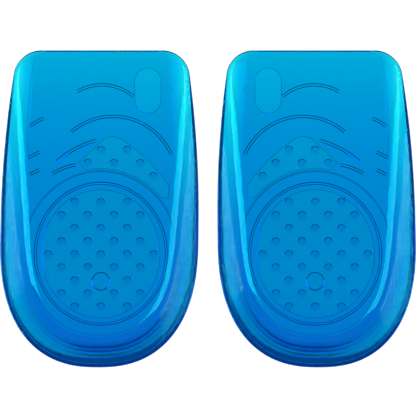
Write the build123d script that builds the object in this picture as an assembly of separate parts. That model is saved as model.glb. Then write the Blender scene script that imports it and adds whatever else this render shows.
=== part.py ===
"""A pair of moulded gel heel cups, left and right, lying side by side on their flat soles.

Each cup is a clear firm gel shell with a raised wall round the heel, and two softer gel
pads set into pockets in its sole: a round one under the heel and a crescent in front of it.
The right cup is the mirror image of the left one.

Units are millimetres. +Z is up, the straight front edges point to +Y and the heels to -Y.
The origin is on the surface that the soles rest on, midway between the two cups.
"""
import math
import os

from build123d import *

# Overall size of one cup, and how far apart the two lie
cup_length = 108.0
cup_width = 67.6
cup_gap = 5.8
heel_wall_height = 22.0

# Plan outline
heel_depth = 43.0  # from the heel's tip to where the sides run straight
heel_fullness = 2.4  # exponent of the heel's superellipse: 2 is a plain ellipse
heel_lean = 1.0  # how much further out the heel lies than the front edge
front_corner_radius = 9.5

# Wall and floor
sole_inset = 8.2  # how much further in than the rim the flat sole ends
rim_thickness = 1.3
floor_inset = 9.8  # from the rim to where the inner wall runs into the floor
floor_thickness_heel = 3.6
floor_thickness_front = 1.9
floor_level_length = 34.0  # length of level floor, measured from the heel's tip

# Height of the rim along the cup: distance behind the front edge, share of the full rise
rim_rise = [(0.0, 0.0), (9.0, 0.07), (22.0, 0.31), (38.0, 0.58), (54.0, 0.81), (78.0, 0.97)]

# Round heel pad and the rings moulded around it
heel_pad_side_margin = 5.3  # from the pad to the side edge of the flat sole
heel_pad_width = cup_width - 2 * (sole_inset + heel_pad_side_margin)
heel_pad_length = 44.0
heel_pad_offset = 38.3  # from the heel's tip to the pad's centre
heel_pad_thickness = 2.2
inner_ring_gap = 1.7
inner_ring_width = 1.0
outer_ring_gap = 6.1
outer_ring_width = 0.5
ring_depth = 0.35

# Crescent pad, drawn from the front end of the heel pad
crescent_thickness = 1.6
crescent_ring_gap = 0.6  # from the outer ring to the pad
crescent_edge_margin = 1.0  # from the pad to the edge of the flat sole, at the least
crescent_crown = [(23.4, 1.1), (15.9, 10.2), (6.4, 17.7)]  # one arc through these
crescent_shoulder = (1.1, 17.5)  # a small arc rounds the crown off to here
crescent_ends = [(-7.4, 9.2), (-5.5, 5.0), (10.0, -3.0), (23.0, -3.0)]

# Nubs under both pads, in staggered rows
nub_diameter = 3.4
nub_height = 0.9
nub_tip_diameter = 2.2
nub_pitch = 9.0
nub_row_pitch = 4.47
nub_edge_margin = 0.8  # from a pad's edge to the nearest nub's centre

# Mark left by the moulding gate, in place of one nub
gate_offset = 9.4  # behind the heel pad's centre
gate_diameter = 5.8
gate_ring_width = 0.6

# Grip ribs under the front, as grooves on three points each, from the heel pad's front end
rib_width = 1.1
rib_depth = 0.35
rib_edge_margin = 0.2  # from a rib to the edge of the flat sole, at the least
ribs = [
    ((-8.1, 33.6), (0.0, 35.9), (11.2, 31.9)),
    ((-24.7, 21.7), (-22.2, 23.2), (-19.6, 24.4)),
    ((-10.2, 19.7), (3.7, 25.1), (24.0, 12.6)),
    ((-24.6, 10.9), (-22.9, 12.0), (-21.0, 12.9)),
    ((-15.2, 9.5), (-8.6, 14.1), (-1.6, 16.9)),
    ((-24.4, 5.1), (-22.8, 6.0), (-21.0, 6.8)),
    ((-16.6, 5.5), (-12.8, 7.4), (-8.6, 8.5)),
]

# Blank size panel, recessed in the sole
panel_length = 15.6
panel_width = 9.1
panel_from_side = 9.5  # from the side edge of the flat sole to the panel's middle
panel_from_front = 13.8  # from the front edge to the panel's middle
panel_depth = 0.3

# Fits
bond_gap = 0.05  # round each pad in its pocket

# Derived places
half_width = cup_width / 2
front_y = cup_length / 2
heel_centre_y = -front_y + heel_depth
heel_pad_centre = (0.0, -front_y + heel_pad_offset)
heel_pad_front = (0.0, heel_pad_centre[1] + heel_pad_length / 2)
panel_centre = (half_width - sole_inset - panel_from_side, front_y - panel_from_front)
gate_centre = (heel_pad_centre[0], heel_pad_centre[1] - gate_offset)
lean_angle = math.atan2(heel_lean, cup_length)
cup_pitch = cup_width + cup_gap
above_all = heel_wall_height * 1.5

# Fineness of the curved surfaces
heel_steps = 12
loft_levels = [0.0, 0.03, 0.09, 0.2, 0.4, 0.7, 1.0]  # shares of a wall's height


def lean_point(x, y):
    """Turn a point about the cup's middle, so that the left cup's heel lies further out."""
    cosine = math.cos(lean_angle)
    sine = math.sin(lean_angle)
    return (x * cosine + y * sine, y * cosine - x * sine)


def plan_face(inset, level, front=front_y):
    """The cup's outline, moved in by inset at the sides and heel, as a face at one level."""
    half = half_width - inset
    depth = heel_depth - inset
    power = 2 / heel_fullness
    heel_points = []
    for step in range(heel_steps + 1):
        angle = math.pi * step / heel_steps
        across = math.cos(angle)
        along = math.sin(angle)
        x = half * math.copysign(abs(across) ** power, across)
        y = heel_centre_y - depth * along ** power
        heel_points.append(lean_point(x, y))
    side_direction = (math.sin(lean_angle), math.cos(lean_angle))
    back_direction = (-side_direction[0], -side_direction[1])
    heel = Spline(*heel_points, tangents=[back_direction, side_direction])
    right_foot = heel_points[0]
    left_foot = heel_points[-1]
    slope = math.tan(lean_angle)
    right_corner = (right_foot[0] + (front - right_foot[1]) * slope, front)
    left_corner = (left_foot[0] + (front - left_foot[1]) * slope, front)
    right_side = Line(right_corner, right_foot)
    left_side = Line(left_foot, left_corner)
    outline = make_face(Curve() + [right_side, heel, left_side, Line(left_corner, right_corner)])
    corners = outline.vertices().sort_by(Axis.Y)[-2:]
    return Pos(0, 0, level) * fillet(corners, front_corner_radius)


def quarter_ellipse_inset(share):
    """How far in a wall shaped as a quarter of an ellipse still is, at a share of its height."""
    return 1 - math.sqrt(1 - (1 - share) ** 2)


def outer_block():
    """The shell's outside, as tall as its wall all round: flat sole and outward curving wall."""
    sections = []
    for share in loft_levels:
        inset = sole_inset * quarter_ellipse_inset(share)
        sections.append(plan_face(inset, heel_wall_height * share))
    return loft(sections)


def floor_region():
    """Everything above the inner floor, which is level at the heel and thins to the front."""
    level_end = -front_y + floor_level_length
    drop = floor_thickness_heel - floor_thickness_front
    run = front_y - level_end
    arc_radius = (run ** 2 + drop ** 2) / (2 * drop)
    overrun = 2 * sole_inset
    far_drop = arc_radius - math.sqrt(arc_radius ** 2 - (run + overrun) ** 2)
    level = Line((-front_y, floor_thickness_heel), (level_end, floor_thickness_heel))
    arc_end = (level_end + run + overrun, floor_thickness_heel - far_drop)
    thinning = TangentArc(level @ 1, arc_end, tangent=(1, 0))
    rest = Polyline(arc_end, (arc_end[0], above_all), (-front_y, above_all), level @ 0)
    return side_profile(level, thinning, rest)


def rim_region():
    """Everything above the rim, which is high round the heel and falls to the front edge."""
    rise = heel_wall_height - floor_thickness_front
    points = [(-front_y, heel_wall_height)]
    for behind_front, share in reversed(rim_rise):
        points.append((front_y - behind_front, floor_thickness_front + rise * share))
    overrun = 2 * sole_inset
    rim = Spline(*points, tangents=[(1, 0), (1, 0)])
    front = Line(points[-1], (front_y + overrun, points[-1][1]))
    rest = Polyline(front @ 1, (front_y + overrun, above_all), (-front_y - overrun, above_all),
                    (-front_y - overrun, heel_wall_height), rim @ 0)
    return side_profile(rim, front, rest)


def side_profile(*edges):
    """A region drawn in side view, forwards and up, run right across the cup."""
    side_view = Plane(origin=(0, 0, 0), x_dir=(0, 1, 0), z_dir=(1, 0, 0))
    face = make_face(Curve() + list(edges))
    return extrude(side_view * face, amount=cup_width, both=True)


def hollow():
    """The space that the heel sits in: a bowl with curved walls, open at the front and top."""
    bowl_height = heel_wall_height - floor_thickness_front
    wall_run = floor_inset - rim_thickness
    sections = []
    for share in loft_levels:
        inset = rim_thickness + wall_run * quarter_ellipse_inset(share)
        level = floor_thickness_front + bowl_height * share
        sections.append(plan_face(inset, level, front=front_y + front_corner_radius))
    bowl = loft(sections) + extrude(sections[-1], amount=above_all - heel_wall_height)
    return bowl & floor_region()


def heel_ellipse(grow):
    """The round heel pad's outline, grown by an amount."""
    ellipse = Ellipse(heel_pad_width / 2 + grow, heel_pad_length / 2 + grow)
    return Pos(*heel_pad_centre) * ellipse


def shrunk_heel_ellipse(shrink):
    """The round heel pad's outline, shrunk by an amount."""
    return heel_ellipse(-shrink)


def crescent_face(shrink=0.0):
    """The crescent pad's outline, shrunk by an amount.

    The outer ring cuts off its hollow side, and it keeps inside the flat sole.
    """
    crown = ThreePointArc(*crescent_crown)
    shoulder = TangentArc(crown @ 1, crescent_shoulder, tangent=crown % 1)
    ends = Polyline(shoulder @ 1, *crescent_ends, crown @ 0)
    whole = offset(make_face(Curve() + [crown, shoulder, ends]), -shrink)
    room = plan_face(sole_inset + crescent_edge_margin + shrink, 0)
    ring_gap = outer_ring_gap + outer_ring_width + crescent_ring_gap
    return (Pos(*heel_pad_front) * whole & room) - heel_ellipse(ring_gap + shrink)


def nub_places():
    """Centres of the staggered nubs over the whole sole, in rows counted from the gate."""
    places = []
    rows = math.ceil(cup_length / nub_row_pitch)
    columns = math.ceil(cup_width / nub_pitch)
    for row in range(-rows, rows + 1):
        stagger = nub_pitch / 2 if row % 2 else 0
        for column in range(-columns, columns + 1):
            if (row, column) != (0, 0):
                x = gate_centre[0] + column * nub_pitch + stagger
                places.append((x, gate_centre[1] + row * nub_row_pitch))
    return places


def pad_with_nubs(outline, thickness):
    """A soft pad in its pocket: a flat plate against the roof, with nubs down to the sole."""
    face = outline(bond_gap)
    plate = Pos(0, 0, nub_height) * extrude(face, amount=thickness - nub_height)
    nub = Pos(0, 0, nub_height / 2) * Cone(nub_tip_diameter / 2, nub_diameter / 2, nub_height)
    edge = extrude(face, amount=nub_height)
    room = extrude(outline(nub_edge_margin), amount=nub_height)
    nubs = []
    for x, y in nub_places():
        if room.is_inside((x, y, nub_height / 2)):
            nubs.append(Pos(x, y, 0) * nub & edge)
    return plate + nubs


def gate_mark():
    """The ring that the moulding gate leaves, standing down from the heel pad's plate."""
    ring = Circle(gate_diameter / 2) - Circle(gate_diameter / 2 - gate_ring_width)
    return Pos(*gate_centre, nub_height / 2) * extrude(ring, amount=nub_height / 2)


def heel_pad():
    """The round pad of softer gel under the heel."""
    return pad_with_nubs(shrunk_heel_ellipse, heel_pad_thickness) + gate_mark()


def crescent_pad():
    """The crescent of softer gel in front of the heel pad."""
    return pad_with_nubs(crescent_face, crescent_thickness)


def ring_groove(gap, width):
    """A groove round the heel pad, kept inside the flat sole."""
    ring = heel_ellipse(gap + width) - heel_ellipse(gap)
    return extrude(ring & plan_face(sole_inset + width, 0), amount=ring_depth)


def rib_groove(start, middle, end):
    """One curved grip groove under the front of the cup, kept inside the flat sole."""
    groove = Pos(*heel_pad_front) * trace(ThreePointArc(start, middle, end), line_width=rib_width)
    return extrude(groove & plan_face(sole_inset + rib_edge_margin, 0), amount=rib_depth)


def shell():
    """The firm gel shell, with its hollow, falling rim, pad pockets and moulded sole."""
    body = outer_block() - hollow() - rim_region()
    body -= extrude(heel_ellipse(0), amount=heel_pad_thickness)
    body -= extrude(crescent_face(), amount=crescent_thickness)
    body -= ring_groove(inner_ring_gap, inner_ring_width)
    body -= ring_groove(outer_ring_gap, outer_ring_width)
    for rib in ribs:
        body -= rib_groove(*rib)
    panel = Pos(*panel_centre) * Rot(0, 0, 90) * SlotOverall(panel_length, panel_width)
    return body - extrude(panel, amount=panel_depth)


def main():
    """Make the left cup's pieces, mirror them for the right cup and write every one."""
    os.makedirs("parts", exist_ok=True)
    pieces = {"shell": shell(), "heel_pad": heel_pad(), "crescent_pad": crescent_pad()}
    for name, piece in pieces.items():
        left = Pos(-cup_pitch / 2, 0, 0) * piece
        right = mirror(left, about=Plane.YZ)
        export_step(left, f"parts/left_{name}.step")
        export_step(right, f"parts/right_{name}.step")


main()
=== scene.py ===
import math

import bmesh
import bpy
import numpy as np
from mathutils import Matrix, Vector

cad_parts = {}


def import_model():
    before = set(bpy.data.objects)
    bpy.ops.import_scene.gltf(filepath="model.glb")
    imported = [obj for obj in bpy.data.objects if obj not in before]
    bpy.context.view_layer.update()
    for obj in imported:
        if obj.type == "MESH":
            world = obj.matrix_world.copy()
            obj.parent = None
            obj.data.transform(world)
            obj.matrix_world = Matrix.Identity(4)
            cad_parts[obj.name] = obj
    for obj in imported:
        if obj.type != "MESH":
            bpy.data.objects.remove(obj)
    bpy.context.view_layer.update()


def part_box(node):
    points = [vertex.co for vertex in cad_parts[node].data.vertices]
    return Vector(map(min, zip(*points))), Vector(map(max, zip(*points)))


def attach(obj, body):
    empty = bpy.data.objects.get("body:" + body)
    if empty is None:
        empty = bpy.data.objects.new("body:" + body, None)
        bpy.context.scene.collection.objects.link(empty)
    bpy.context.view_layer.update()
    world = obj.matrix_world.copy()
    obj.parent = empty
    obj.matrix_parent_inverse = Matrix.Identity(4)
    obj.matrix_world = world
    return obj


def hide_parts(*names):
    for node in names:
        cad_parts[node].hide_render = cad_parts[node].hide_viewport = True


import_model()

# A pair of clear blue gel heel cups lying on their soles. Everything is in metres, in the
# CAD frame: +Z up, straight front edges to +Y, heels to -Y. Meshes are worked out for the left
# cup about its own middle, and the right cup is its mirror image.

MM = 0.001

# ---------------------------------------------------------------- sizes from the frame

shell_low, shell_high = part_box("left_shell")
heel_pad_low, heel_pad_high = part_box("left_heel_pad")
_, crescent_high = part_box("left_crescent_pad")

cup_middle = (shell_low + shell_high) / 2
half_width = (shell_high.x - shell_low.x) / 2
front_y = shell_high.y
wall_height = shell_high.z
heel_pad_middle = (heel_pad_low + heel_pad_high) / 2
heel_pad_x = heel_pad_middle.x - cup_middle.x
heel_pad_y = heel_pad_middle.y
heel_pad_half = ((heel_pad_high.x - heel_pad_low.x) / 2, (heel_pad_high.y - heel_pad_low.y) / 2)

# ---------------------------------------------------------------- sizes of the moulding

heel_depth = 43.0 * MM
heel_fullness = 2.4
heel_lean = 1.0 * MM
lean_slope = heel_lean / (2 * front_y)
side_bow_start = -4.0 * MM
side_bow_radius = 350.0 * MM
corner_radius = 9.5 * MM
sole_corner_radius = 3.5 * MM
least_corner_radius = 1.5 * MM

# The larger its bend, the more of a wall's width is taken to curve up from level to its full slope.
# The rim's inner edge is rounded by at most inner_round_share of the wall's height.
sole_inset = 8.2 * MM
sole_lip = 0.3 * MM
outer_bend = 0.3
outer_straightness = 0.85
side_inner_bend = 1.6
heel_inner_bend = 0.8
rim_thickness = 1.3 * MM
ripple_pitch = 1.3 * MM
side_ripple_height = 0.004 * MM
heel_ripple_height = 0.012 * MM
edge_round = 0.45 * MM
inner_round_share = 0.45
front_round = 0.9 * MM

floor_heel = 3.6 * MM
floor_front = 2.1 * MM
floor_level_length = 34.0 * MM
heel_floor_rise = 1.3 * MM

# Distance behind the front edge in millimetres, and share of the full rise of the rim there
rim_rise = [(0, 0.0), (9, 0.06), (20, 0.17), (34, 0.33), (54, 0.56), (74, 0.8), (94, 0.96), (108, 1.0)]

# Share of the full rise of the rim, and how far in from it the wall's foot is, in millimetres
wall_foot = [(0, 1.7), (0.09, 2.6), (0.17, 4.7), (0.33, 7.4), (0.53, 9.6), (0.75, 10.6), (1, 11.0)]

pad_gap = 0.05 * MM
pad_edge_round = 0.15 * MM
pocket_bevel = 0.12 * MM
heel_pocket_depth = heel_pad_high.z
crescent_pocket_depth = crescent_high.z
heel_centre_y = -front_y + heel_depth

# Nubs under the pads, in staggered rows counted from the gate mark
nub_radius = 1.7 * MM
nub_height = 0.5 * MM
nub_tip_radius = 0.95 * MM
nub_tip_shift = 0.45 * MM
nub_pitch = 9.0 * MM
nub_row_pitch = 4.47 * MM
nub_edge_margin = 0.8 * MM
nub_root = 0.3 * MM

# The mark of the moulding gate: a ridge with sloping sides round a shallow spot
gate_middle = (heel_pad_x, heel_pad_y - 9.4 * MM)
gate_radius = 2.9 * MM
gate_flare = 0.3 * MM
gate_ridge_width = 0.6 * MM
gate_ridge_flat = 0.2 * MM
gate_ridge_level = 0.2 * MM
gate_spot_radius = 1.4 * MM
gate_spot_tip_radius = 0.9 * MM
gate_spot_level = 0.3 * MM

# Sole relief. Ribs, lines and panel are placed in millimetres from the heel pad's front end, and
# each rib or line is an arc through three points. A roof share is how much of a groove's width is
# left at its roof.
rib_width = 1.1 * MM
line_width = 0.45 * MM
groove_depth = 0.35 * MM
groove_roof_share = 0.45
ring_roof_share = 0.4
ribs = [
    ((-8.1, 33.6), (0.0, 35.9), (11.2, 31.9)),
    ((-24.4, 21.7), (-22.2, 23.2), (-19.6, 24.4)),
    ((-10.2, 19.7), (3.7, 25.1), (24.2, 11.9)),
    ((-24.9, 10.9), (-22.9, 12.0), (-21.0, 12.9)),
    ((-15.2, 9.5), (-8.6, 14.1), (-1.6, 16.9)),
    ((-24.4, 5.1), (-22.8, 6.0), (-21.0, 6.8)),
    ((-16.6, 5.5), (-12.8, 7.4), (-8.6, 8.5)),
]
lines = [
    ((-22.8, 45.6), (-24.6, 32.0), (-25.0, 10.0)),
    ((-24.4, 0.4), (-21.0, 2.9), (-16.9, 5.1)),
    ((4.1, 46.8), (9.2, 45.2), (13.9, 42.4)),
    ((19.0, 26.1), (22.5, 23.8), (25.2, 21.0)),
    ((21.7, 36.6), (23.8, 35.4), (24.6, 33.9)),
]
panel_middle = (16.1, 33.9)
panel_length = 15.6 * MM
panel_width = 9.1 * MM
panel_depth = 0.3 * MM

# Rings round the heel pad: how far out each one starts, and its width
rings_round_pad = [(1.7 * MM, 1.0 * MM), (6.1 * MM, 0.5 * MM)]

# The crescent pad's outline, in millimetres from the heel pad's front end. Its hollow side runs
# crescent_gap out from the heel pad.
crescent_crown = [(23.4, 1.1), (15.9, 10.2), (6.4, 17.7)]
crescent_shoulder = [(4.0, 18.3), (1.1, 17.5), (-7.4, 9.2)]
crescent_foot = (-5.5, 5.0)
crescent_tip = (23.0, -3.0)
crescent_gap = 7.2 * MM


# ---------------------------------------------------------------- outline and heights

def smooth_curve(places, values):
    """A cubic spline through the given values, level at both ends, as a function of place."""
    x = np.array(places, float)
    y = np.array(values, float)
    step = np.diff(x)
    count = len(x)
    matrix = np.eye(count)
    right = np.zeros(count)
    for i in range(1, count - 1):
        matrix[i, i - 1] = 1 / step[i - 1]
        matrix[i, i] = 2 / step[i - 1] + 2 / step[i]
        matrix[i, i + 1] = 1 / step[i]
        right[i] = 3 * (y[i] - y[i - 1]) / step[i - 1] ** 2 + 3 * (y[i + 1] - y[i]) / step[i] ** 2
    slope = np.linalg.solve(matrix, right)

    def curve(at):
        at = np.clip(at, x[0], x[-1])
        k = np.clip(np.searchsorted(x, at) - 1, 0, count - 2)
        t = (at - x[k]) / step[k]
        start = (1 + 2 * t) * (1 - t) ** 2 * y[k] + t * (1 - t) ** 2 * slope[k] * step[k]
        end = t * t * (3 - 2 * t) * y[k + 1] + t * t * (t - 1) * slope[k + 1] * step[k]
        return start + end

    return curve


rim_share = smooth_curve([behind * MM for behind, _ in rim_rise], [share for _, share in rim_rise])
foot_inset = smooth_curve([share for share, _ in wall_foot], [inset * MM for _, inset in wall_foot])


def rim_level(y):
    """Height of the rim at a place along the cup."""
    return floor_front + (wall_height - floor_front) * rim_share(front_y - y)


def floor_level(y):
    """Height of the inner floor: thinning to the front, and curving up a little at the back."""
    level_end = -front_y + floor_level_length
    ahead = np.maximum(y - level_end, 0)
    behind = np.maximum(level_end - y, 0)
    thinning = (floor_heel - floor_front) * (ahead / (front_y - level_end)) ** 2
    return floor_heel - thinning + heel_floor_rise * (behind / floor_level_length) ** 2


def wall_rise(share, bend):
    """A wall's height share from its foot to its rim: level at first, then nearly straight."""
    return (np.sqrt(share ** 2 + bend ** 2) - bend) / (np.sqrt(1 + bend ** 2) - bend)


def outer_rise(share, height):
    """The outer wall's height share: bulging at the front, straighter where the rim is high."""
    bulging = 1 - np.sqrt(1 - share ** 2)
    straight = outer_straightness * np.sqrt(height)
    return (1 - straight) * bulging + straight * wall_rise(share, outer_bend)


# Points along each part of the outline
HEEL_STEPS = 128
SIDE_STEPS = 84
CORNER_STEPS = 22
FRONT_STEPS = 44


def side_turn(inset, front, corner):
    """Angle by which the side has turned where it meets the front corner."""
    return np.arcsin((front - corner - side_bow_start) / (side_bow_radius - inset - corner))


def side_points(share, inset, front, corner):
    """Right-hand side: straight by the heel, then bowed inwards to the front corner."""
    bow_x = half_width - side_bow_radius
    radius = side_bow_radius - inset
    end = side_bow_start + radius * np.sin(side_turn(inset, front, corner))
    y = heel_centre_y + share * (end - heel_centre_y)
    ahead = np.maximum(y - side_bow_start, 0)
    return bow_x + np.sqrt(radius ** 2 - ahead ** 2), y


def corner_points(share, inset, front, corner):
    """Right-hand front corner, from the bowed side to the straight front."""
    start = side_turn(inset, front, corner)
    turn = start + share * (math.pi / 2 - start)
    middle_x = half_width - side_bow_radius + (side_bow_radius - inset - corner) * np.cos(start)
    return middle_x + corner * np.cos(turn), front - corner + corner * np.sin(turn)


def front_points(share, inset, front, corner):
    """Straight front edge, from its right-hand end to its left-hand one."""
    end, _ = corner_points(1, inset, front, corner)
    return end * (1 - 2 * share), front


def heel_points(share, inset, front, corner):
    """Heel, a superellipse from its left-hand end round to its right-hand one."""
    across = -np.cos(share * math.pi)
    back = np.sin(share * math.pi) ** (2 / heel_fullness)
    x = (half_width - inset) * np.sign(across) * np.abs(across) ** (2 / heel_fullness)
    return x, heel_centre_y - (heel_depth - inset) * back


OUTLINE = [
    (side_points, SIDE_STEPS, False),
    (corner_points, CORNER_STEPS, False),
    (front_points, FRONT_STEPS, False),
    (corner_points, CORNER_STEPS, True),
    (side_points, SIDE_STEPS, True),
    (heel_points, HEEL_STEPS, False),
]
LOOP_COUNT = sum(steps for _, steps, _ in OUTLINE)


def cup_loop(inset, front_inset, corner):
    """Points of the cup's outline, anticlockwise from the right-hand end of the heel.

    inset, front_inset and corner are one number or one for each point: how far the sides
    and heel and the front edge are moved in, and the radius of the front corners.
    """
    inset = np.broadcast_to(inset, LOOP_COUNT)
    front = front_y - np.broadcast_to(front_inset, LOOP_COUNT)
    corner = np.broadcast_to(corner, LOOP_COUNT)
    points = np.empty((LOOP_COUNT, 2))
    start = 0
    for shape, steps, mirrored in OUTLINE:
        part = slice(start, start + steps)
        start += steps
        share = np.arange(steps) / steps
        if mirrored:
            share = 1 - share
        x, y = shape(share, inset[part], front[part], corner[part])
        points[part, 0] = -x if mirrored else x
        points[part, 1] = y
    points[:, 0] += points[:, 1] * lean_slope
    return points


def ring(plan, level):
    """Plan points with a height, or a height for each."""
    return np.column_stack([plan, np.broadcast_to(level, len(plan))])


# ---------------------------------------------------------------- shell

# Rings in each part of the shell's skin
UNDERSIDE_RINGS = 32
EDGE_RINGS = 6
RIM_RINGS = 2
INNER_WALL_RINGS = 60
FLOOR_RINGS = 16


def inner_ring(inset, level):
    """A ring inside the rim: as far in from the front edge as it is from the rim at the sides."""
    return ring(cup_loop(inset, inset, np.maximum(corner_radius - inset, least_corner_radius)), level)


def outside_rings(outline_y, rim):
    """Rings from the sole's edge up the outside and round the rim's outer edge."""
    rings = []
    for k in range(UNDERSIDE_RINGS + 1):
        share = math.sin(math.pi / 2 * k / UNDERSIDE_RINGS)
        under = front_round * (1 - share)
        corner = sole_corner_radius + (corner_radius - sole_corner_radius) * share
        plan = cup_loop(sole_inset * (1 - share), under, corner)
        rise = outer_rise(share, rim_share(front_y - outline_y))
        rings.append(ring(plan, (rim - edge_round) * rise))
    for k in range(1, EDGE_RINGS + 1):
        turn = math.pi / 2 * k / EDGE_RINGS
        inset = edge_round * (1 - math.cos(turn))
        rings.append(inner_ring(inset, rim - edge_round * (1 - math.sin(turn))))
    return rings


def rim_rings(rim, inner_round):
    """Rings over the top of the rim and round its inner edge."""
    rings = []
    for k in range(1, RIM_RINGS + 1):
        share = k / (RIM_RINGS + 1)
        inset = edge_round + (rim_thickness - 2 * edge_round) * share
        rings.append(inner_ring(inset, rim))
    for k in range(EDGE_RINGS + 1):
        turn = math.pi / 2 * k / EDGE_RINGS
        inset = rim_thickness - edge_round * (1 - math.sin(turn))
        rings.append(inner_ring(inset, rim - inner_round * (1 - math.cos(turn))))
    return rings


def inner_wall_rings(outline_y, wall_top):
    """Rings down the inner wall to the floor, with faint ripples that run round the cup."""
    foot = foot_inset(rim_share(front_y - outline_y))
    backness = np.clip((heel_centre_y - outline_y) / heel_depth, 0, 1)
    ripple_height = side_ripple_height + (heel_ripple_height - side_ripple_height) * backness ** 2
    inner_bend = side_inner_bend + (heel_inner_bend - side_inner_bend) * np.sqrt(backness)
    rings = []
    for k in range(1, INNER_WALL_RINGS + 1):
        share = 1 - k / INNER_WALL_RINGS
        inset = foot + (rim_thickness - foot) * share
        plan = inner_ring(inset, 0)
        floor = floor_level(plan[:, 1])
        top = np.maximum(wall_top, floor)
        ripple = ripple_height * np.sin(2 * math.pi * inset / ripple_pitch)
        fade = np.minimum((top - floor) / floor_heel, 1) * math.sin(math.pi * share)
        plan[:, 2] = floor + (top - floor) * wall_rise(share, inner_bend) + ripple * fade
        rings.append(plan)
    return rings


def floor_rings(edge, middle):
    """Rings over the inner floor, from its edge towards its middle."""
    rings = []
    for k in range(1, FLOOR_RINGS):
        share = 1 - k / FLOOR_RINGS
        plan = middle + (edge[:, :2] - middle) * share
        rings.append(ring(plan, floor_level(plan[:, 1])))
    return rings


def shell_rings():
    """The shell's rings, from the sole's edge up the outside, over the rim and in to the floor."""
    outline_y = cup_loop(0, 0, corner_radius)[:, 1]
    rim = rim_level(outline_y)
    inner_round = np.minimum(edge_round, inner_round_share * (rim - floor_level(outline_y)))
    rings = outside_rings(outline_y, rim)
    rings += rim_rings(rim, inner_round)
    rings += inner_wall_rings(outline_y, rim - inner_round)
    floor_edge = rings[-1]
    middle = np.array([0, floor_edge[:, 1].mean()])
    rings += floor_rings(floor_edge, middle)
    return rings, middle


def add_band(bm, low, high):
    """Faces between two loops of equally many vertices."""
    for j in range(len(low)):
        following = (j + 1) % len(low)
        bm.faces.new((low[j], low[following], high[following], high[j]))


def add_rings(bm, rings, last_point=None):
    """Join rings of equal length into a closed skin, capped flat or, at its end, at a point."""
    loops = [[bm.verts.new(point) for point in points] for points in rings]
    for low, high in zip(loops, loops[1:]):
        add_band(bm, low, high)
    bm.faces.new(list(reversed(loops[0])))
    last = loops[-1]
    if last_point is None:
        bm.faces.new(last)
        return
    tip = bm.verts.new(last_point)
    for j in range(len(last)):
        bm.faces.new((last[j], last[(j + 1) % len(last)], tip))


def add_closed_band(bm, rings):
    """Join rings of equal length into a closed band, the last one back to the first."""
    loops = [[bm.verts.new(point) for point in points] for points in rings]
    for low, high in zip(loops, loops[1:] + loops[:1]):
        add_band(bm, low, high)


def mesh_of(bm, name):
    """A mesh from a finished bmesh, with its normals outwards."""
    bmesh.ops.recalc_face_normals(bm, faces=bm.faces)
    mesh = bpy.data.meshes.new(name)
    bm.to_mesh(mesh)
    bm.free()
    return mesh


def combined(mesh, operation, other):
    """One mesh cut by, joined to or limited to another, as a new mesh."""
    objects = []
    for part in (mesh, other):
        shape = bpy.data.objects.new(part.name, part)
        bpy.context.scene.collection.objects.link(shape)
        objects.append(shape)
    change = objects[0].modifiers.new("combine", "BOOLEAN")
    change.operation = operation
    change.solver = "EXACT"
    change.use_self = True
    change.object = objects[1]
    depsgraph = bpy.context.evaluated_depsgraph_get()
    result = bpy.data.meshes.new_from_object(objects[0].evaluated_get(depsgraph))
    for shape in objects:
        bpy.data.objects.remove(shape)
    return result


# ---------------------------------------------------------------- outlines on the sole

# How finely curves are drawn, and how sharp a corner may be before its mitre is cut short
ARC_STEP = 0.6 * MM
CROWN_STEP = 1.0 * MM
HEEL_PAD_STEPS = 160
HOLLOW_STEPS = 240
PANEL_END_STEPS = 24
LEAST_MITRE = 0.5


def from_pad_front(point):
    """A point given in millimetres from the heel pad's front end, in metres from the cup's middle."""
    return np.array([heel_pad_x + point[0] * MM, heel_pad_y + heel_pad_half[1] + point[1] * MM])


def arc_through(start, middle, end, step=ARC_STEP):
    """Points along the circle arc through three points."""
    matrix = 2 * np.array([middle - start, end - start])
    right = np.array([middle @ middle - start @ start, end @ end - start @ start])
    centre = np.linalg.solve(matrix, right)
    radius = np.linalg.norm(start - centre)
    angles = [math.atan2(*(point - centre)[::-1]) for point in (start, middle, end)]
    turn = (angles[2] - angles[0]) % (2 * math.pi)
    if (angles[1] - angles[0]) % (2 * math.pi) > turn:
        turn -= 2 * math.pi
    count = max(2, math.ceil(abs(turn) * radius / step))
    around = angles[0] + turn * np.arange(count + 1) / count
    return centre + radius * np.column_stack([np.cos(around), np.sin(around)])


def heel_ellipse(grow, count=HEEL_PAD_STEPS):
    """The heel pad's outline, grown by an amount."""
    around = 2 * math.pi * np.arange(count) / count
    x = heel_pad_x + (heel_pad_half[0] + grow) * np.cos(around)
    y = heel_pad_y + (heel_pad_half[1] + grow) * np.sin(around)
    return np.column_stack([x, y])


def crescent_outline():
    """The crescent pad's outline, anticlockwise: its hollow side follows the rings round the heel."""
    crown = arc_through(*[from_pad_front(point) for point in crescent_crown], step=CROWN_STEP)
    shoulder = np.array([from_pad_front(point) for point in crescent_shoulder])
    foot = from_pad_front(crescent_foot)
    tip = from_pad_front(crescent_tip)
    followed = heel_ellipse(crescent_gap, HOLLOW_STEPS)
    hollow = [(x, y) for x, y in followed if foot[0] < x < tip[0] and y > tip[1]]
    hollow.sort()
    return np.vstack([crown, shoulder, hollow, [tip]])


def stadium(middle, length, width):
    """A slot-shaped outline, longest along the cup."""
    radius = width / 2
    turn = math.pi * np.arange(PANEL_END_STEPS + 1) / PANEL_END_STEPS
    half = length / 2 - radius
    top = np.column_stack([radius * np.cos(turn), half + radius * np.sin(turn)])
    return middle + np.vstack([top, -top])


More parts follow.
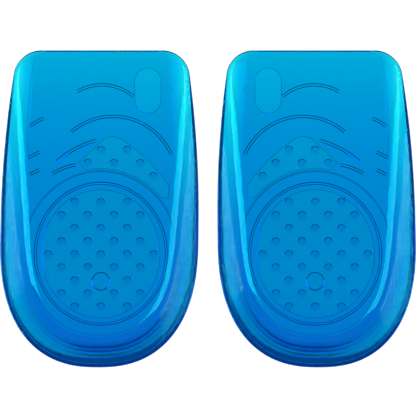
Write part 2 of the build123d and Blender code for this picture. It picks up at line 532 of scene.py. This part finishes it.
def moved_in(outline, distance):
    """A closed outline moved inwards by a distance, corner by corner."""
    before = np.roll(outline, 1, axis=0)
    after = np.roll(outline, -1, axis=0)

    def left_of(start, end):
        run = end - start
        run = run / np.linalg.norm(run, axis=1)[:, None]
        return np.column_stack([-run[:, 1], run[:, 0]])

    first = left_of(before, outline)
    second = left_of(outline, after)
    mitre = first + second
    mitre /= np.maximum((mitre * first).sum(axis=1), LEAST_MITRE)[:, None]
    return outline + mitre * distance


def inside(outline, point):
    """Whether a point is inside a closed outline."""
    start = outline
    end = np.roll(outline, -1, axis=0)
    spans = (start[:, 1] > point[1]) != (end[:, 1] > point[1])
    run = end[spans] - start[spans]
    crossing = start[spans, 0] + (point[1] - start[spans, 1]) * run[:, 0] / run[:, 1]
    return np.count_nonzero(crossing > point[0]) % 2 == 1


# ---------------------------------------------------------------- cutters for the sole

# Cutters start this far below the sole
BELOW = -0.3 * MM


def add_pocket(bm, outline, depth):
    """A straight-sided recess with a small bevel round its roof."""
    roof = moved_in(outline, pocket_bevel)
    add_rings(bm, [ring(outline, BELOW), ring(outline, depth - pocket_bevel), ring(roof, depth)])


def add_groove(bm, path, width, depth):
    """A groove with sloping sides along an open path."""
    run = np.gradient(path, axis=0)
    run /= np.linalg.norm(run, axis=1)[:, None]
    across = np.column_stack([-run[:, 1], run[:, 0]]) * width / 2
    sections = []
    for point, side in zip(path, across):
        low_side = side * (1 + (1 - groove_roof_share) * abs(BELOW) / depth)
        roof_side = side * groove_roof_share
        corners = [
            (point - low_side, BELOW),
            (point + low_side, BELOW),
            (point + roof_side, depth),
            (point - roof_side, depth),
        ]
        sections.append([(*corner, level) for corner, level in corners])
    add_rings(bm, sections)


def add_ring_groove(bm, grow, width, depth):
    """A groove with sloping sides right round the heel pad, starting as far out as grow."""
    middle = grow + width / 2
    low = width / 2 * (1 + (1 - ring_roof_share) * abs(BELOW) / depth)
    roof = width / 2 * ring_roof_share
    section = [(middle - low, BELOW), (middle - roof, depth), (middle + roof, depth), (middle + low, BELOW)]
    add_closed_band(bm, [ring(heel_ellipse(out), level) for out, level in section])


def sole_cutters():
    """Everything that is recessed in the shell's sole, as one mesh."""
    bm = bmesh.new()
    add_pocket(bm, heel_ellipse(pad_gap), heel_pocket_depth)
    add_pocket(bm, moved_in(crescent_outline(), -pad_gap), crescent_pocket_depth)
    add_pocket(bm, stadium(from_pad_front(panel_middle), panel_length, panel_width), panel_depth)
    for grow, width in rings_round_pad:
        add_ring_groove(bm, grow, width, groove_depth)
    for width, curves in ((rib_width, ribs), (line_width, lines)):
        for curve in curves:
            path = arc_through(*[from_pad_front(point) for point in curve])
            add_groove(bm, path, width, groove_depth)
    return mesh_of(bm, "sole_cutters")


def shell_mesh():
    """The shell, with its pockets and grooves."""
    rings, middle = shell_rings()
    towards = np.array([0, heel_pad_y, 0]) - rings[0]
    towards /= np.linalg.norm(towards, axis=1)[:, None]
    rings.insert(0, rings[0] + towards * sole_lip)
    bm = bmesh.new()
    add_rings(bm, rings, last_point=(middle[0], middle[1], float(floor_level(middle[1]))))
    return combined(mesh_of(bm, "plain_shell"), "DIFFERENCE", sole_cutters())


# ---------------------------------------------------------------- pads

# Rows and columns of nubs tried each way from the gate mark, and how finely they are drawn
NUB_ROWS = 30
NUB_COLUMNS = 10
NUB_STEPS = 32
NUB_RINGS = 8
GATE_STEPS = 48

# The room that nubs are kept in reaches past both of their ends
ROOM_FLOOR = -1.0 * MM
ROOM_TOP = 2.0 * MM

# Share of a pad's rounded edge at which its curve is half-way round
EDGE_BEND = 0.3


def nub_places(outline):
    """Centres of the nubs under one pad."""
    room = moved_in(outline, nub_edge_margin)
    places = []
    for row in range(-NUB_ROWS, NUB_ROWS + 1):
        for column in range(-NUB_COLUMNS, NUB_COLUMNS + 1):
            x = gate_middle[0] + (column + (row % 2) / 2) * nub_pitch
            y = gate_middle[1] + row * nub_row_pitch
            if (row, column) != (0, 0) and inside(room, (x, y)):
                places.append((x, y))
    return places


def unit_circle(count):
    """Points of a circle of radius 1."""
    around = 2 * math.pi * np.arange(count) / count
    return np.column_stack([np.cos(around), np.sin(around)])


def add_nub(bm, x, y):
    """A nub hanging from a pad's plate to the sole, steeper on its front side, rooted in the plate."""
    circle = unit_circle(NUB_STEPS)
    rings = [ring((x, y) + circle * nub_radius, nub_height + nub_root)]
    for k in range(NUB_RINGS + 1):
        inward = 0.5 * (1 - math.cos(math.pi * k / NUB_RINGS))
        radius = nub_radius + (nub_tip_radius - nub_radius) * inward
        middle = (x, y + nub_tip_shift * inward)
        rings.append(ring(middle + circle * radius, nub_height * (1 - inward ** 2 * (3 - 2 * inward))))
    add_rings(bm, rings)


def add_gate(bm):
    """The ridge and the spot in its middle that the moulding gate leaves."""
    circle = unit_circle(GATE_STEPS)
    root = nub_height + nub_root
    outer = gate_radius + gate_flare
    inner = gate_radius - gate_ridge_width
    ridge = [
        (outer, root),
        (outer, nub_height),
        (gate_radius, gate_ridge_level),
        (gate_radius - gate_ridge_flat, gate_ridge_level),
        (inner, nub_height),
        (inner, root),
    ]
    add_closed_band(bm, [ring(gate_middle + circle * radius, level) for radius, level in ridge])
    spot = [
        (gate_spot_radius, root),
        (gate_spot_radius, nub_height),
        (gate_spot_tip_radius, gate_spot_level),
    ]
    add_rings(bm, [ring(gate_middle + circle * radius, level) for radius, level in spot])


def pad_mesh(name, outline, thickness, with_gate):
    """One soft pad: a plate with rounded edges and nubs under it."""
    soft = pad_edge_round
    bend = soft * EDGE_BEND
    top = thickness - pad_gap
    bm = bmesh.new()
    for x, y in nub_places(outline):
        add_nub(bm, x, y)
    if with_gate:
        add_gate(bm)
    nubs = mesh_of(bm, "nubs")
    bm = bmesh.new()
    add_rings(bm, [ring(moved_in(outline, soft), level) for level in (ROOM_FLOOR, ROOM_TOP)])
    nubs = combined(nubs, "INTERSECT", mesh_of(bm, "room"))
    bm = bmesh.new()
    steps = [
        (soft, nub_height),
        (bend, nub_height + bend),
        (0, nub_height + soft),
        (0, top - soft),
        (bend, top - bend),
        (soft, top),
    ]
    add_rings(bm, [ring(moved_in(outline, inset), level) for inset, level in steps])
    return combined(mesh_of(bm, name), "UNION", nubs)


# ---------------------------------------------------------------- materials

gel_density = 3700


def uneven_skin(nodes, links, shader):
    """A fine grain in the gloss, and shallow flow marks."""
    place_on = nodes.new("ShaderNodeTexCoord")
    grain = nodes.new("ShaderNodeTexNoise")
    grain.inputs["Scale"].default_value = 2500
    grain.inputs["Detail"].default_value = 4
    gloss = nodes.new("ShaderNodeMapRange")
    gloss.inputs["To Min"].default_value = 0.015
    gloss.inputs["To Max"].default_value = 0.06
    flow = nodes.new("ShaderNodeTexNoise")
    flow.inputs["Scale"].default_value = 260
    flow.inputs["Detail"].default_value = 3
    flow.inputs["Distortion"].default_value = 0.6
    marks = nodes.new("ShaderNodeBump")
    marks.inputs["Strength"].default_value = 0.3
    marks.inputs["Distance"].default_value = 0.03 * MM
    links.new(place_on.outputs["Object"], grain.inputs["Vector"])
    links.new(place_on.outputs["Object"], flow.inputs["Vector"])
    links.new(grain.outputs["Fac"], gloss.inputs["Value"])
    links.new(gloss.outputs["Result"], shader.inputs["Roughness"])
    links.new(flow.outputs["Fac"], marks.inputs["Height"])
    links.new(marks.outputs["Normal"], shader.inputs["Normal"])


def clear_body(nodes, links, green, blue):
    """Light takes on the body's colour with depth, and the body gets an even painted glow that stands in
    for light scattered within it.
    """
    absorbed = nodes.new("ShaderNodeVolumeAbsorption")
    absorbed.inputs["Color"].default_value = (0.0, green, blue, 1)
    absorbed.inputs["Density"].default_value = gel_density
    # A painted glow: an even emission stands in for the scattered light, which keeps the gel's deep parts
    # blue
    painted_glow = nodes.new("ShaderNodeEmission")
    painted_glow.inputs["Color"].default_value = (0.0, 0.75, 1.0, 1)
    painted_glow.inputs["Strength"].default_value = 18
    volume = nodes.new("ShaderNodeAddShader")
    links.new(absorbed.outputs[0], volume.inputs[0])
    links.new(painted_glow.outputs[0], volume.inputs[1])
    links.new(volume.outputs[0], nodes["Material Output"].inputs["Volume"])


def gel_material(name, skin_blue, green, blue):
    """Clear blue gel: the share of blue that its skin lets through, and the colour of its body."""
    material = bpy.data.materials.new(name)
    material.use_nodes = True
    nodes = material.node_tree.nodes
    links = material.node_tree.links
    shader = nodes["Principled BSDF"]
    shader.inputs["Base Color"].default_value = (1, 1, skin_blue, 1)
    shader.inputs["Transmission Weight"].default_value = 1
    shader.inputs["IOR"].default_value = 1.45
    shader.inputs["Specular Tint"].default_value = (0.0, 0.95, 0.8, 1)
    uneven_skin(nodes, links, shader)
    clear_body(nodes, links, green, blue)
    return material


# ---------------------------------------------------------------- both cups

sharp_angle = math.radians(20)


def place(mesh, name, side, node, material):
    """A piece of one cup, mirrored for the right one, put where the CAD says."""
    data = mesh.copy()
    sign = -1 if side == "left" else 1
    coordinates = np.empty(len(data.vertices) * 3)
    data.vertices.foreach_get("co", coordinates)
    points = coordinates.reshape(-1, 3)
    points[:, 0] = -sign * points[:, 0] + sign * abs(cup_middle.x)
    data.vertices.foreach_set("co", points.ravel())
    if side == "right":
        data.flip_normals()
    data.materials.clear()
    data.materials.append(material)
    data.shade_smooth()
    data.set_sharp_from_angle(angle=sharp_angle)
    piece = bpy.data.objects.new(name, data)
    bpy.context.scene.collection.objects.link(piece)
    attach(piece, f"{side}_cup")
    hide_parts(f"{side}_{node}")
    return piece


firm_gel = gel_material("firm_blue_gel", 0.75, 0.88, 0.979)
soft_gel = gel_material("soft_blue_gel", 1.0, 0.868, 0.972)
shell = shell_mesh()
heel_pad = pad_mesh("heel_cushion", heel_ellipse(0), heel_pocket_depth, True)
crescent_pad = pad_mesh("crescent_cushion", crescent_outline(), crescent_pocket_depth, False)
soft_pieces = [
    (heel_pad, "heel_cushion", "heel_pad"),
    (crescent_pad, "crescent_cushion", "crescent_pad"),
]
for side in ("left", "right"):
    place(shell, f"{side}_gel_shell", side, "shell", firm_gel)
    for mesh, name, node in soft_pieces:
        pad = place(mesh, f"{side}_{name}", side, node, soft_gel)


# ---------------------------------------------------------------- floor, camera and light

def floor():
    """A plain white light table just under the soles, which leaves no shadows."""
    half = 6.0
    gap = 0.15 * MM
    mesh = bpy.data.meshes.new("floor")
    corners = [(-half, -half, -gap), (half, -half, -gap), (half, half, -gap), (-half, half, -gap)]
    mesh.from_pydata(corners, [], [(0, 1, 2, 3)])
    material = bpy.data.materials.new("white_surface")
    material.use_nodes = True
    shader = material.node_tree.nodes["Principled BSDF"]
    shader.inputs["Base Color"].default_value = (0.1, 0.1, 0.1, 1)
    shader.inputs["Emission Color"].default_value = (1, 1, 1, 1)
    shader.inputs["Emission Strength"].default_value = 1.03
    shader.inputs["Roughness"].default_value = 0.8
    shader.inputs["Specular IOR Level"].default_value = 0.0
    mesh.materials.append(material)
    surface = bpy.data.objects.new("floor", mesh)
    bpy.context.scene.collection.objects.link(surface)


def camera():
    """Straight above the pair, far off with a long lens, heels to the bottom of the picture."""
    data = bpy.data.cameras.new("camera")
    data.lens = 450
    view_width = 0.1408
    distance = view_width * data.lens / data.sensor_width
    data.clip_end = 30
    seen = bpy.data.objects.new("camera", data)
    seen.location = (0, 0, distance + wall_height)
    bpy.context.scene.collection.objects.link(seen)
    bpy.context.scene.camera = seen


def area_light(name, place_at, size_x, size_y, power):
    """A rectangular soft light aimed at the middle of the pair."""
    data = bpy.data.lights.new(name, "AREA")
    data.shape = "RECTANGLE"
    data.size = size_x
    data.size_y = size_y
    data.energy = power
    lamp = bpy.data.objects.new(name, data)
    lamp.location = place_at
    lamp.rotation_mode = "QUATERNION"
    lamp.rotation_quaternion = Vector(place_at).to_track_quat("Z", "Y")
    lamp.visible_camera = False
    bpy.context.scene.collection.objects.link(lamp)


def world():
    """Studio surroundings: a ring of soft light high up, dim walls and a paler horizon."""
    surroundings = bpy.data.worlds.new("surroundings")
    surroundings.use_nodes = True
    nodes = surroundings.node_tree.nodes
    links = surroundings.node_tree.links
    direction = nodes.new("ShaderNodeTexCoord")
    split = nodes.new("ShaderNodeSeparateXYZ")
    ramp = nodes.new("ShaderNodeValToRGB")
    # Sine of the height above the horizon, and how bright it is there
    steps = [(0.0, 0.5), (0.1, 0.4), (0.25, 0.3), (0.6, 0.25), (0.75, 0.6), (0.95, 0.6), (0.985, 0.1)]
    stops = ramp.color_ramp.elements
    while len(stops) < len(steps):
        stops.new(1.0)
    for stop, (height, brightness) in zip(stops, steps):
        stop.position = height
        stop.color = (brightness, brightness, brightness, 1)
    background = nodes["Background"]
    background.inputs["Strength"].default_value = 0.75
    links.new(direction.outputs["Generated"], split.inputs[0])
    links.new(split.outputs["Z"], ramp.inputs[0])
    links.new(ramp.outputs[0], background.inputs["Color"])
    bpy.context.scene.world = surroundings


floor()
camera()
area_light("left_softbox", place_at=(-0.75, 0.08, 0.65), size_x=0.95, size_y=1.0, power=24.0)
area_light("right_strip", place_at=(0.72, 0.08, 0.72), size_x=0.35, size_y=1.0, power=11.0)
world()
bpy.context.scene.view_settings.view_transform = "Standard"
